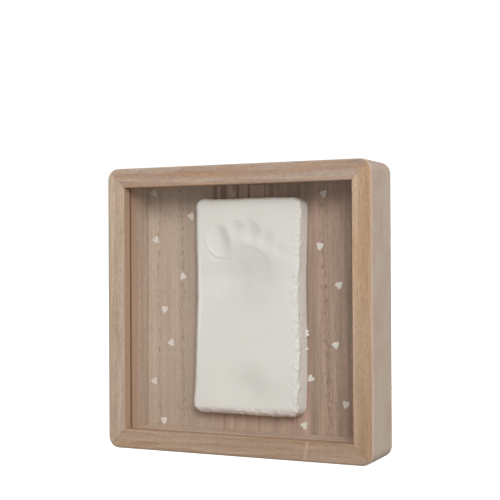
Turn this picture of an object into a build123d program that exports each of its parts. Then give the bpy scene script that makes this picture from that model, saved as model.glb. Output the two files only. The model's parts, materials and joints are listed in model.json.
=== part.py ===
from build123d import *

import os
from math import cos, floor, radians, sin

# Deep box frame with a clay footprint. Millimetres, +X right, +Y back, +Z up.
# The origin is the middle of the bottom face that the frame stands on.

# Frame
frame_width = 170.0
frame_height = 170.0
frame_depth = 34.0
rail_width = 11.8           # width of each rail, seen from the front
corner_radius = 7.0         # outer corners, rounded after gluing
front_arris = 1.3           # roundover of the outer front edge
back_arris = 0.6            # bevel of the outer back edge
lip_arris = 0.6             # roundover of the window's front edge
lip_depth = 6.4             # thickness of the front lip
rebate_width = 4.0          # wood cut away behind the lip

# Steel V-nails across the mitres
v_nail_thickness = 0.5
v_nail_depth = 9.0
v_nail_inset = 1.6          # wood between the nail and the rebate
v_nail_cover = 1.7          # wood between the nail and the outside

# Pane, liners and backing board, stacked behind the lip
pane_thickness = 2.0
pane_clearance = 0.4        # room around the pane's edge
liner_thickness = 2.5
board_thickness = 2.0
board_clearance = 0.4       # room around the board's edge

# Hearts printed on the board
heart_width = 4.2
heart_height = 4.6
heart_lobe_turn = 196.0      # arc of each lobe, before the flatter side to the tip
paint_thickness = 0.2
heart_room = 2.8            # least distance from a heart's middle to the liners
# Each heart's place as shares of half the room for their middles, and its turn
heart_spots = [
    (-0.98, 0.99, 42),
    (-0.61, 0.78, 26),
    (-0.96, 0.58, 38),
    (-0.70, 0.26, -45),
    (-0.88, -0.03, -6),
    (-0.81, -0.32, 40),
    (-0.98, -0.66, 36),
    (-0.89, -1.00, 6),
    (-0.21, 0.96, 12),
    (0.62, 0.95, 135),
    (0.58, 0.51, -12),
    (0.75, 0.20, 135),
    (0.72, -0.29, 132),
    (0.49, -0.58, -45),
    (0.80, -0.78, -12),
    (0.44, -0.96, 135),
]

# Clay slab
clay_thickness = 12.0
clay_side_room = 39.6       # open board left and right of the slab
clay_end_room = 10.3        # open board above and below it
clay_shift = 1.1            # slab's middle, left of the frame's middle
clay_rise = 1.0             # slab's middle, above the frame's middle
clay_tilt = 1.1             # leans to the right
clay_end_bow = 0.8          # top and bottom edges bulge
clay_corner_radius = 5.5
clay_front_arris = 2.7

# Right foot pressed into the slab
foot_side_room = 9.1        # clay left beside the print
foot_end_room = 10.8        # clay left above and below it
# Dents as shares of half the print's size (across, along, radius), and depth:
# toes from big to little, the three pads of the ball from the big toe's side, and the heel
foot_dents = [
    (-0.71, 0.745, 0.32, 2.8),
    (-0.20, 0.90, 0.18, 1.3),
    (0.165, 0.875, 0.175, 1.4),
    (0.58, 0.80, 0.165, 1.2),
    (0.90, 0.67, 0.145, 0.7),
    (-0.535, 0.49, 0.35, 1.4),
    (0.12, 0.53, 0.36, 1.9),
    (0.565, 0.46, 0.355, 1.2),
    (0.225, -0.84, 0.355, 1.1),
]
sphere_turn = (90, 0, 0)    # the dents' spheres have their poles up and down the slab

# Foam pads between slab and board
pad_thickness = 1.0
pad_width = 14.0
pad_height = 20.0
pad_spacing_across = 34.0
pad_spacing_up = 76.0

# Turn buttons and their screws, two on each side rail
button_length = 18.0
button_width = 7.0
button_thickness = 1.0
button_gap = 0.1            # running gap under the button and under the screw head
button_spacing = 90.0       # between the two on one rail
pivot_clearance = 0.08      # around the screw, in the button's hole
screw_radius = 1.2
screw_length = 12.0         # in the wood
screw_head_radius = 2.4
screw_head_height = 1.4
screw_head_bevel = 0.7

# Sawtooth hanger and its nails
hanger_length = 40.0
hanger_height = 6.4
hanger_thickness = 0.7
hanger_foot = 8.0           # flat at each end, nailed to the rail
hanger_ramp = 2.0
hanger_lift = 1.8           # room for a wall hook behind the teeth
tooth_pitch = 2.5
tooth_depth = 1.6
nail_radius = 0.7
nail_length = 9.0           # in the wood
nail_head_radius = 1.5
nail_head_height = 0.6

fastener_fit = 0.02         # around screws and nails in the wood and in the hanger
hole_end_room = 0.5         # hole left beyond a screw's or nail's end

# Depths from front to back
front_y = -frame_depth / 2
back_y = frame_depth / 2
lip_y = front_y + lip_depth
pane_back_y = lip_y + pane_thickness
board_y = back_y - board_thickness
clay_back_y = board_y - pad_thickness

# Widths across the frame
window_width = frame_width - 2 * rail_width
window_height = frame_height - 2 * rail_width
wall_width = rail_width - rebate_width
rebate_across = frame_width - 2 * wall_width
rebate_up = frame_height - 2 * wall_width
field_width = rebate_across - 2 * liner_thickness
field_height = rebate_up - 2 * liner_thickness
clay_width = field_width - 2 * clay_side_room
clay_height = field_height - 2 * clay_end_room
foot_width = clay_width - 2 * foot_side_room
foot_length = clay_height - 2 * foot_end_room

corners = [(-1, -1), (1, -1), (1, 1), (-1, 1)]


def front_plane(origin, turn=0):
    """Upright plane facing the front, with its x turned up by turn degrees."""
    return Plane(origin, x_dir=(cos(radians(turn)), 0, sin(radians(turn))), z_dir=(0, -1, 0))


def face_plane(y):
    """Upright plane at depth y through the frame's middle, facing the front."""
    return front_plane((0, y, frame_height / 2))


def back_plane(x, z, side=1):
    """Plane on the frame's back at (x, z), facing back, with its x towards side."""
    return Plane((x, back_y, z), x_dir=(side, 0, 0), z_dir=(0, 1, 0))


def mitre_plane(corner, outward):
    """Plane through one outer corner at 45 degrees, facing the rail on that side."""
    along = (outward[0] - corner[0], outward[1] - corner[1])
    corner_point = (
        corner[0] * frame_width / 2,
        0,
        frame_height / 2 + corner[1] * frame_height / 2,
    )
    return Plane(corner_point, z_dir=(outward[0] + along[0], 0, outward[1] + along[1]))


def v_nail_outline(corner):
    """V of thin strip, its point towards the window and its legs in both rails."""
    leg = wall_width - v_nail_inset - v_nail_cover
    start_x = rebate_across / 2 + v_nail_inset
    start_z = rebate_up / 2 + v_nail_inset
    steps = [
        (0, 0),
        (leg, 0),
        (leg, v_nail_thickness),
        (v_nail_thickness, v_nail_thickness),
        (v_nail_thickness, leg),
        (0, leg),
    ]
    return [(corner[0] * (start_x + p), corner[1] * (start_z + q)) for p, q in steps]


# Places of the fasteners on the back
pivot_x = frame_width / 2 - wall_width / 2
pivots = {
    f"{level}_{side}": (sign * pivot_x, frame_height / 2 + rise * button_spacing / 2, -sign)
    for side, sign in (("left", -1), ("right", 1))
    for level, rise in (("lower", -1), ("upper", 1))
}
hanger_z = frame_height - wall_width / 2
nail_reach = hanger_length / 2 - hanger_foot / 2
nail_planes = [back_plane(x, hanger_z) for x in (-nail_reach, nail_reach)]
screw_planes = {
    "left_rail": [back_plane(*spot) for spot in pivots.values() if spot[0] < 0],
    "right_rail": [back_plane(*spot) for spot in pivots.values() if spot[0] > 0],
}

os.makedirs("parts", exist_ok=True)

# Rails: a moulded ring, cut at two mitres for each rail
rail_sides = {"left_rail": (-1, 0), "right_rail": (1, 0), "top_rail": (0, 1), "bottom_rail": (0, -1)}
for name, outward in rail_sides.items():
    ends = [c for c in corners if c[0] == outward[0] or c[1] == outward[1]]
    with BuildPart() as rail:
        with BuildSketch(face_plane(back_y)):
            RectangleRounded(frame_width, frame_height, corner_radius)
            Rectangle(window_width, window_height, mode=Mode.SUBTRACT)
        extrude(amount=frame_depth)
        front_face = rail.faces().sort_by(Axis.Y)[0]
        window_edges = front_face.inner_wires()[0].edges()
        fillet(front_face.outer_wire().edges(), front_arris)
        fillet(window_edges, lip_arris)
        chamfer(rail.faces().sort_by(Axis.Y)[-1].outer_wire().edges(), back_arris)
        with BuildSketch(face_plane(back_y)):
            Rectangle(rebate_across, rebate_up)
        extrude(amount=frame_depth - lip_depth, mode=Mode.SUBTRACT)
        for corner in ends:
            split(bisect_by=mitre_plane(corner, outward))
        with BuildSketch(face_plane(back_y)):
            for corner in ends:
                Polygon(*v_nail_outline(corner))
        extrude(amount=v_nail_depth, mode=Mode.SUBTRACT)
        if name in screw_planes:
            with BuildSketch(*screw_planes[name]):
                Circle(screw_radius + fastener_fit)
            extrude(amount=-screw_length - hole_end_room, mode=Mode.SUBTRACT)
        if name == "top_rail":
            with BuildSketch(*nail_planes):
                Circle(nail_radius + fastener_fit)
            extrude(amount=-nail_length - hole_end_room, mode=Mode.SUBTRACT)
    rail.part.label = name
    export_step(rail.part, f"parts/{name}.step")

# V-nails, flush with the back
with BuildPart() as corner_v_nails:
    with BuildSketch(face_plane(back_y)):
        for corner in corners:
            Polygon(*v_nail_outline(corner))
    extrude(amount=v_nail_depth)
corner_v_nails.part.label = "corner_v_nails"
export_step(corner_v_nails.part, "parts/corner_v_nails.step")

# Clear pane, held between the lip and the liners
with BuildPart() as front_pane:
    with BuildSketch(face_plane(pane_back_y)):
        Rectangle(rebate_across - 2 * pane_clearance, rebate_up - 2 * pane_clearance)
    extrude(amount=pane_thickness)
front_pane.part.label = "front_pane"
export_step(front_pane.part, "parts/front_pane.step")

# Liners: top and bottom run right across, the side ones stand between them
liner_sizes = {
    "left_liner": (liner_thickness, field_height),
    "right_liner": (liner_thickness, field_height),
    "top_liner": (rebate_across, liner_thickness),
    "bottom_liner": (rebate_across, liner_thickness),
}
for name, (across, up) in liner_sizes.items():
    outward = rail_sides[name.replace("liner", "rail")]
    place = (
        outward[0] * (rebate_across - liner_thickness) / 2,
        outward[1] * (rebate_up - liner_thickness) / 2,
    )
    with BuildPart() as liner:
        with BuildSketch(face_plane(board_y)):
            with Locations(place):
                Rectangle(across, up)
        extrude(amount=board_y - pane_back_y)
    liner.part.label = name
    export_step(liner.part, f"parts/{name}.step")

# Backing board, flush with the back of the rails
with BuildPart() as backing_board:
    with BuildSketch(face_plane(back_y)):
        Rectangle(rebate_across - 2 * board_clearance, rebate_up - 2 * board_clearance)
    extrude(amount=board_thickness)
backing_board.part.label = "backing_board"
export_step(backing_board.part, "parts/backing_board.step")

# One heart: two round lobes, and a flatter arc from each of them to the tip
lobe_radius = heart_width / 4
with BuildSketch() as heart:
    with BuildLine():
        lobe = JernArc((0, heart_height / 2 - lobe_radius), (0, 1), lobe_radius, -heart_lobe_turn)
        TangentArc(lobe @ 1, (0, -heart_height / 2), tangent=lobe % 1)
        mirror(about=Plane.YZ)
    make_face()

heart_span = field_width / 2 - heart_room
heart_rise = field_height / 2 - heart_room
with BuildPart() as painted_hearts:
    with BuildSketch(face_plane(board_y)):
        for across, up, turn in heart_spots:
            with Locations((across * heart_span, up * heart_rise)):
                add(heart.sketch, rotation=turn)
    extrude(amount=paint_thickness)
painted_hearts.part.label = "painted_hearts"
export_step(painted_hearts.part, "parts/painted_hearts.step")

# Clay slab with bowed ends, in its own leaning plane, with the print pressed into its front
clay_plane = front_plane((-clay_shift, clay_back_y, frame_height / 2 + clay_rise), -clay_tilt)
half_width = clay_width / 2
half_height = clay_height / 2 - clay_end_bow
with BuildPart(clay_plane) as clay_print:
    with BuildSketch(clay_plane) as slab_outline:
        with BuildLine():
            upper = ThreePointArc(
                (-half_width, half_height), (0, half_height + clay_end_bow), (half_width, half_height)
            )
            Line(upper @ 1, (half_width, -half_height))
            mirror(upper, about=Plane.XZ)
            Line((-half_width, -half_height), upper @ 0)
        make_face()
        fillet(slab_outline.vertices(), clay_corner_radius)
    extrude(amount=clay_thickness)
    fillet(clay_print.faces().sort_by(Axis.Y)[0].edges(), clay_front_arris)
    for across, along, radius, depth in foot_dents:
        dent_half = radius * foot_width / 2
        sphere_radius = (dent_half**2 + depth**2) / (2 * depth)
        lift = clay_thickness - depth + sphere_radius
        with Locations((across * foot_width / 2, along * foot_length / 2, lift)):
            Sphere(sphere_radius, rotation=sphere_turn, mode=Mode.SUBTRACT)
clay_print.part.label = "clay_print"
export_step(clay_print.part, "parts/clay_print.step")

# Foam pads behind the slab
with BuildPart() as adhesive_pads:
    with BuildSketch(clay_plane):
        with GridLocations(pad_spacing_across, pad_spacing_up, 2, 2):
            Rectangle(pad_width, pad_height)
    extrude(amount=-pad_thickness)
adhesive_pads.part.label = "adhesive_pads"
export_step(adhesive_pads.part, "parts/adhesive_pads.step")

# Turn buttons, each pointing to the middle of the frame
button_reach = button_length - button_width
for name, spot in pivots.items():
    with BuildPart() as turn_button:
        with BuildSketch(back_plane(*spot).offset(button_gap)):
            with Locations((button_reach / 2, 0)):
                SlotCenterToCenter(button_reach, button_width)
            Circle(screw_radius + pivot_clearance, mode=Mode.SUBTRACT)
        extrude(amount=button_thickness)
    turn_button.part.label = f"{name}_turn_button"
    export_step(turn_button.part, f"parts/{name}_turn_button.step")

# Their screws, with rounded heads
head_seat = button_thickness + 2 * button_gap
button_planes = [back_plane(*spot) for spot in pivots.values()]
with BuildPart() as turn_button_screws:
    with BuildSketch(*[plane.offset(-screw_length) for plane in button_planes]):
        Circle(screw_radius)
    extrude(amount=screw_length + head_seat)
    with BuildSketch(*[plane.offset(head_seat) for plane in button_planes]):
        Circle(screw_head_radius)
    extrude(amount=screw_head_height)
    chamfer(turn_button_screws.edges().group_by(Axis.Y)[-1], screw_head_bevel)
turn_button_screws.part.label = "turn_button_screws"
export_step(turn_button_screws.part, "parts/turn_button_screws.step")

# Sawtooth hanger: a strip with flat feet and a raised, toothed middle
foot_end = hanger_length / 2 - hanger_foot
bar_end = foot_end - hanger_ramp
tooth_count = floor(2 * bar_end / tooth_pitch)
with BuildPart() as sawtooth_hanger:
    with BuildSketch(Plane((0, back_y, hanger_z - hanger_height / 2))):
        with BuildLine():
            Polyline(
                (0, hanger_lift),
                (bar_end, hanger_lift),
                (foot_end, 0),
                (hanger_length / 2, 0),
                (hanger_length / 2, hanger_thickness),
                (foot_end, hanger_thickness),
                (bar_end, hanger_lift + hanger_thickness),
                (0, hanger_lift + hanger_thickness),
            )
            mirror(about=Plane.YZ)
        make_face()
    extrude(amount=hanger_height)
    with BuildSketch(back_plane(0, hanger_z - hanger_height / 2).offset(hanger_lift)):
        with GridLocations(tooth_pitch, 0, tooth_count, 1):
            Polygon((-tooth_pitch / 2, 0), (tooth_pitch / 2, 0), (0, -tooth_depth))
    extrude(amount=hanger_thickness, mode=Mode.SUBTRACT)
    with BuildSketch(*nail_planes):
        Circle(nail_radius + fastener_fit)
    extrude(amount=hanger_thickness, mode=Mode.SUBTRACT)
sawtooth_hanger.part.label = "sawtooth_hanger"
export_step(sawtooth_hanger.part, "parts/sawtooth_hanger.step")

# Its nails
with BuildPart() as hanger_nails:
    with BuildSketch(*[plane.offset(-nail_length) for plane in nail_planes]):
        Circle(nail_radius)
    extrude(amount=nail_length + hanger_thickness)
    with BuildSketch(*[plane.offset(hanger_thickness) for plane in nail_planes]):
        Circle(nail_head_radius)
    extrude(amount=nail_head_height)
hanger_nails.part.label = "hanger_nails"
export_step(hanger_nails.part, "parts/hanger_nails.step")
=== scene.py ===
"""Box frame with a baby's footprint in clay: clay slab, screws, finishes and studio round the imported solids."""
import json
from math import cos, pi, radians, sin

import bpy
import numpy as np
from mathutils import Matrix, Vector


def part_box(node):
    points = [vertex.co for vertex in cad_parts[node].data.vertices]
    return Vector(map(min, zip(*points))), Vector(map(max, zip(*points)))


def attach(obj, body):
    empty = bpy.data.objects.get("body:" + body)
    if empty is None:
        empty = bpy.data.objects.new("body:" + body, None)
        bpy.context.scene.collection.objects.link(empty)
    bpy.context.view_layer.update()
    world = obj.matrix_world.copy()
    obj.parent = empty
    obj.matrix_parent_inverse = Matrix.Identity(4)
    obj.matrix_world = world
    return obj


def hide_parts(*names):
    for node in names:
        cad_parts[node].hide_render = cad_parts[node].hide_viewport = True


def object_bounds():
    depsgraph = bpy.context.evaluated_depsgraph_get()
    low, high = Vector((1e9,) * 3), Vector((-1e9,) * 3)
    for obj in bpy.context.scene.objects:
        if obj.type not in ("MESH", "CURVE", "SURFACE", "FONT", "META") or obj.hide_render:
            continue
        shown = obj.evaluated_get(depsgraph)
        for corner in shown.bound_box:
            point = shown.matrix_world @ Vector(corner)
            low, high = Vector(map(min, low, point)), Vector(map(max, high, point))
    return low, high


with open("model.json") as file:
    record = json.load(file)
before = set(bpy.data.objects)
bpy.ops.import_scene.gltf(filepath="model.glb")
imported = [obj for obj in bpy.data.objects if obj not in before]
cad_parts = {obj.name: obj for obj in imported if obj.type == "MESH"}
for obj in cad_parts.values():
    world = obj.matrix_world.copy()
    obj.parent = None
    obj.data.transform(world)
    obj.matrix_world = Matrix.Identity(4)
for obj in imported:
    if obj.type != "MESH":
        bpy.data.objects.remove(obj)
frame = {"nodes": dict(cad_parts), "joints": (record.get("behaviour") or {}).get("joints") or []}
CAD_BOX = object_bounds()

bl_info = {
    "name": "Footprint box frame",
    "version": (1, 0, 0),
    "blender": (4, 5, 0),
    "location": "View3D > Sidebar > Footprint frame",
    "description": "Clay slab, finishes and studio for a box frame with a baby's footprint",
    "category": "Object",
}

MM = 0.001
BODY = "frame"
WAVE_TURN = 2 * pi / 20     # length of one wave of a Wave texture at scale 1
GRAIN_UP = (0.0, 0.0, 0.0)  # turns that lay a wood's grain along Z or along X
GRAIN_ACROSS = (0.0, -pi / 2, 0.0)
FRAME_MIDDLE_Z = (CAD_BOX[0].z + CAD_BOX[1].z) / 2
FRAME_HALF = (CAD_BOX[1].z - CAD_BOX[0].z) / 2
RAIL_WIDTH = 11.8 * MM
WINDOW_HALF = FRAME_HALF - RAIL_WIDTH
CORNER_RADIUS = 7 * MM      # of the frame's outer corners
MIX = {"out": 2, "data_type": "RGBA"}   # settings of a Mix node for colours, whose sockets are 0, 6 and 7
MULTIPLY = {**MIX, "blend_type": "MULTIPLY"}


def linear(hex_colour):
    """Linear red, green and blue of an sRGB hex colour: the sRGB curve undone, channel by channel."""
    shares = [int(hex_colour[i:i + 2], 16) / 255 for i in (1, 3, 5)]
    return tuple(s / 12.92 if s <= 0.04045 else ((s + 0.055) / 1.055) ** 2.4 for s in shares)


def colour(name, description, hex_colour):
    """Colour setting with an sRGB hex default."""
    return bpy.props.FloatVectorProperty(
        name=name, description=description, default=linear(hex_colour), subtype="COLOR", min=0, max=1
    )


def length(name, description, millimetres):
    """Length setting with a default in millimetres."""
    return bpy.props.FloatProperty(
        name=name, description=description, default=millimetres * MM, unit="LENGTH", precision=5
    )


def share(name, description, default):
    """Setting between 0 and 1."""
    return bpy.props.FloatProperty(
        name=name, description=description, default=default, min=0, max=1, subtype="FACTOR"
    )


class WoodLook(bpy.types.PropertyGroup):
    """Sizes and colours of the sawn wood and of the veneer."""

    ring_width: length("Ring width", "Spacing of the growth rings", 3.4)
    fibre_width: length("Fibre width", "Width of the fine streaks", 0.7)
    fibre_length: length("Fibre length", "Length of the fine streaks", 18)
    nap_width: length("Nap width", "Width of the specks that sanding leaves", 0.8)
    nap_length: length("Nap length", "Length of the specks that sanding leaves", 2.2)
    pore_width: length("Pore width", "Width of the open pores, drawn coarse enough to show", 0.5)
    pore_length: length("Pore length", "Length of the open pores", 5)
    mitre_line: length("Mitre line", "Width of the dark line where two rails meet", 0.36)
    left_light: colour("Left rail, light", "Pale wood of the left rail", "#b6a391")
    left_dark: colour("Left rail, dark", "Darker streaks of the left rail", "#a08b78")
    right_light: colour("Right rail, light", "Pale wood of the right rail", "#b39a82")
    right_dark: colour("Right rail, dark", "Darker streaks of the right rail", "#957a60")
    top_light: colour("Top rail, light", "Pale wood of the top rail", "#ae9a8a")
    top_dark: colour("Top rail, dark", "Darker streaks of the top rail", "#937a68")
    bottom_light: colour("Bottom rail, light", "Pale wood of the bottom rail", "#ad9683")
    bottom_dark: colour("Bottom rail, dark", "Darker streaks of the bottom rail", "#917862")
    blush: colour("Blush", "Golden brown bands in the rails", "#a6805c")
    liner_light: colour("Liners, light", "Pale wood of the side liners", "#c1af9f")
    liner_dark: colour("Liners, dark", "Darker streaks of the side liners", "#af9886")
    level_light: colour("Level liners, light", "Pale wood of the upper and lower liner", "#dcc8b8")
    level_dark: colour("Level liners, dark", "Darker streaks of the upper and lower liner", "#c2ab99")
    liner_front: colour("Liners, front", "Warmer wood of the liners behind the pane", "#b9987e")
    pore: colour("Pores", "Dark inside the open pores", "#6d5442")
    skin: colour("Outer skin", "Grey cast of the frame's outer faces", "#b5a799")
    skin_warm: colour("Outer skin, warm", "Mauve patches on the frame's outer faces", "#b19d8f")
    inner: colour("Inner edge", "Browner wood of the lip's inner faces", "#9a7b63")
    glue: colour("Glue line", "Pale line of a butt joint in the bottom rail", "#bfab95")
    veneer_left: colour("Veneer, left", "Grey beige leaf at the left of the board", "#b7a493")
    veneer_pale: colour("Veneer, pale", "Pale leaf at the board's left edge", "#baa997")
    veneer_middle: colour("Veneer, middle", "Redder leaf behind the slab", "#b39a87")
    veneer_right: colour("Veneer, right", "Mauve brown of the leaf at the right", "#ae9384")
    veneer_grey: colour("Veneer, grey", "Grey brown bands of the leaf at the right", "#9c8874")
    # Partly painted light: the veins' red-brown also stands in for warm light bounced into the top rail's shadow
    veneer_vein_and_shade: colour("Veneer, veins", "Red-brown veins of the leaf behind the slab", "#7d5642")
    veneer_pore: colour("Veneer pores", "Dark pores of the veneer", "#5d4739")


class ClayLook(bpy.types.PropertyGroup):
    """Sizes and colours of the clay slab."""

    edge_radius: length("Edge radius", "Roundness of the slab's front edge", 3.4)
    corner_radius: length("Corner radius", "Roundness of the slab's corners", 5.5)
    back_radius: length("Back radius", "Roundness of the slab's back edge", 1.2)
    bevel_height: length("Bevel height", "Height of the bevel along the slab's lower edge", 4.2)
    bevel_slope: share("Bevel slope", "How far the bevel falls back for its height", 0.36)
    cell: length("Cell", "Spacing of the grid on the slab's face", 0.4)
    edge_roughness: length("Edge roughness", "Height of the flakes along the torn edges", 0.36)
    face_roughness: length("Face roughness", "Height of the hand-smoothed waves on the face", 0.025)
    clay: colour("Clay", "Dry white clay", "#d8d6cf")
    # Partly painted shade: the packed clay's grey also stands in for the shade in the footprint's hollows
    pressed: colour("Pressed clay", "Clay that the foot has packed", "#d4d2cb")
    # Painted shade: darker, warmer clay for the shade on the lower bevel and the top edge
    dull_and_shade: colour("Dull edges", "Duller clay of the lower bevel and the top edge", "#cfc5bd")
    # Painted light: the sides are lighter than the face's clay, for the light that reaches them
    side: colour("Torn clay", "Rougher clay of the sides", "#ece9e2")


class PartLook(bpy.types.PropertyGroup):
    """Colours of the small parts and sizes of the screws."""

    ink: colour("Heart ink", "Off-white printing ink", "#d9d3cb")
    # Painted shade: darker, warmer ink for the heart that lies in the top rail's shadow
    ink_shaded: colour("Worn ink", "Thin ink of the heart over the slab", "#cdb4a0")
    ink_thin: colour("Thin ink", "Ink where the pores show through", "#cac1b7")
    # Painted shadow: the dark put on the pane's upright edges for the shade in the slot beside it
    painted_slot_shadow: colour("Pane's edge", "Dark of the pane's sawn edge", "#7d6250")
    foam: colour("Foam", "White foam tape", "#ececea")
    zinc: colour("Zinc", "Plated steel", "#c3c6c8")
    zinc_dark: colour("Zinc, dark", "Darker crystals of the plating", "#9b9fa3")
    shank_radius: length("Screw shank", "Radius of the screws in the wood", 1.2)
    head_radius: length("Screw head", "Radius of the screws' heads", 2.4)
    head_height: length("Screw head height", "Height of the screws' heads over the buttons", 1.4)
    recess_width: length("Cross width", "Width of the cross in the screws' heads", 0.62)
    recess_depth: length("Cross depth", "Depth of the cross in the screws' heads", 0.9)


class StageLook(bpy.types.PropertyGroup):
    """Floor, lights and camera."""

    floor: colour("Floor", "Pale studio floor", "#bcbbb9")
    sky: share("Soft light", "Strength of the light from all sides", 0.6)
    key_power: bpy.props.FloatProperty(
        name="Key light", description="Power of the soft box at the upper right", default=38.0, unit="POWER"
    )
    fill_power: bpy.props.FloatProperty(
        name="Fill light", description="Power of the wide light at the right", default=7.5, unit="POWER"
    )
    focal_length: bpy.props.FloatProperty(
        name="Focal length", description="Focal length of the camera", default=81.55, unit="CAMERA"
    )


class FootprintFrameLook(bpy.types.PropertyGroup):
    """All settings of the frame."""

    wood: bpy.props.PointerProperty(type=WoodLook)
    clay: bpy.props.PointerProperty(type=ClayLook)
    parts: bpy.props.PointerProperty(type=PartLook)
    stage: bpy.props.PointerProperty(type=StageLook)


def node(tree, kind, inputs, out=0, **settings):
    """Adds one shader node and gives one of its outputs, or the node itself where out is None.

    inputs are its sockets, in order or by name or number, each set to a value or linked to another node's output, and
    settings are the node's own values.
    """
    made = tree.nodes.new("ShaderNode" + kind)
    for name, value in settings.items():
        setattr(made, name, value)
    for name, value in inputs.items() if isinstance(inputs, dict) else enumerate(inputs):
        socket = made.inputs[name]
        if isinstance(value, bpy.types.NodeSocket):
            tree.links.new(value, socket)
        else:
            socket.default_value = (*value, 1.0) if socket.type == "RGBA" else value
    return made if out is None else made.outputs[out]


def blank_material(name):
    """Empty material, its node tree and the Object coordinates in it."""
    made = bpy.data.materials.new(name)
    made.use_nodes = True
    made.node_tree.nodes.clear()
    return made, made.node_tree, node(made.node_tree, "TexCoord", (), "Object")


def dress(names, material):
    """Gives the named solids this material in all their slots."""
    for name in names:
        solid = frame["nodes"][name]
        if not solid.material_slots:
            raise RuntimeError(f"{name} has no material slot")
        for place in solid.material_slots:
            place.material = material


def new_piece(name, points, faces, material, replaced):
    """Mesh object from points in millimetres, smooth, riding on the frame in place of a solid."""
    mesh = bpy.data.meshes.new(name)
    mesh.from_pydata((points * MM).tolist(), [], faces)
    mesh.shade_smooth()
    mesh.materials.append(material)
    if mesh.validate():
        raise RuntimeError(f"{name} has faces that Blender had to mend")
    piece = bpy.data.objects.new(name, mesh)
    bpy.context.scene.collection.objects.link(piece)
    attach(piece, BODY)
    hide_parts(replaced)
    return piece


def bands(loops):
    """Four-sided faces between closed loops of point numbers, each loop joined to the next."""
    onward = np.roll(loops, -1, axis=1)
    return np.stack([loops[:-1], loops[1:], onward[1:], onward[:-1]], -1).reshape(-1, 4)


def fan(loop, tip):
    """Triangles from a closed loop of point numbers to one point."""
    return np.stack([loop, np.full(len(loop), tip), np.roll(loop, -1)], -1)


def streaks(tree, grain, sizes):
    """Noises drawn out along the grain, each from a width and a length in metres and a level of detail."""
    drawn = {}
    for part, (width, run, detail) in sizes.items():
        squeezed = node(tree, "Mapping", {"Vector": grain, "Scale": (1 / width, 1 / width, 1 / run)})
        drawn[part] = node(tree, "TexNoise", {"Vector": squeezed, "Scale": 1.0, "Detail": detail})
    return drawn


def matt_wood(tree, shade, pores, fibre, roughness):
    """Matt wood with fine ridges along its fibres and sunk pores, between the two roughnesses."""
    height = node(tree, "Math", (pores, -1.5, fibre), operation="MULTIPLY_ADD")
    relief = node(tree, "Bump", {"Height": height, "Strength": 0.35, "Distance": 0.06 * MM})
    shader = node(tree, "BsdfPrincipled", {
        "Base Color": shade, "Roughness": node(tree, "MapRange", (fibre, 0, 1, *roughness)), "Normal": relief,
        "IOR": 1.45, "Specular IOR Level": 0.3,
    })
    node(tree, "OutputMaterial", (shader,), None)


def wood(name, look, tones, turn, heart, seed, blush):
    """Material, place, streaks, pores and colour of planed light hardwood.

    It has rings round the tree's heart, golden bands, fibres, nap and pores. turn lays the grain along Z, heart is the
    ring centre seen along the grain, in millimetres, seed shifts the pattern, and blush is the golden bands' strength.
    """
    made, tree, place = blank_material(name)
    grain = node(tree, "Mapping", {"Vector": place, "Rotation": turn, "Location": (0, 0, seed)})
    drawn = streaks(tree, grain, {
        "sway": (14 * MM, 110 * MM, 2.0),
        "tone": (4 * MM, 120 * MM, 3.0),
        "band": (3.4 * MM, 60 * MM, 3.0),
        "fibre": (look.fibre_width, look.fibre_length, 3.0),
        "nap": (look.nap_width, look.nap_length, 2.0),
        "pore": (look.pore_width, look.pore_length, 1.0),
    })
    sway_height = 7 * MM
    sway = node(tree, "Math", (drawn["sway"], sway_height, -sway_height / 2), operation="MULTIPLY_ADD")
    from_heart = node(tree, "VectorMath", (grain, (-heart[0] * MM, -heart[1] * MM, 0)))
    from_heart = node(tree, "VectorMath", (from_heart, node(tree, "CombineXYZ", (sway, sway))))
    rings = node(
        tree, "TexWave", {"Vector": from_heart, "Scale": WAVE_TURN / look.ring_width}, "Fac",
        wave_type="RINGS", rings_direction="Z", wave_profile="SAW",
    )
    tone = node(tree, "Math", (rings, 0.22, drawn["tone"]), operation="MULTIPLY_ADD")
    tone = node(tree, "MapRange", (tone, 0.36, 0.86))
    shade = node(tree, "Mix", {0: tone, 6: tones[0], 7: tones[1]}, **MIX)
    golden = node(tree, "MapRange", (drawn["band"], 0.46, 0.72, 0, blush))
    shade = node(tree, "Mix", {0: golden, 6: shade, 7: look.blush}, **MIX)
    grit = node(tree, "Math", (drawn["nap"], 1.2, drawn["fibre"]), operation="MULTIPLY_ADD")
    grit = node(tree, "MapRange", (grit, 0.7, 1.5, 1.18, 0.82))
    shade = node(tree, "Mix", {0: 1.0, 6: shade, 7: grit}, **MULTIPLY)
    pores = node(tree, "MapRange", (drawn["pore"], 0.64, 0.8, 0, 0.6))
    return made, tree, place, drawn, pores, node(tree, "Mix", {0: pores, 6: shade, 7: look.pore}, **MIX)


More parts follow.
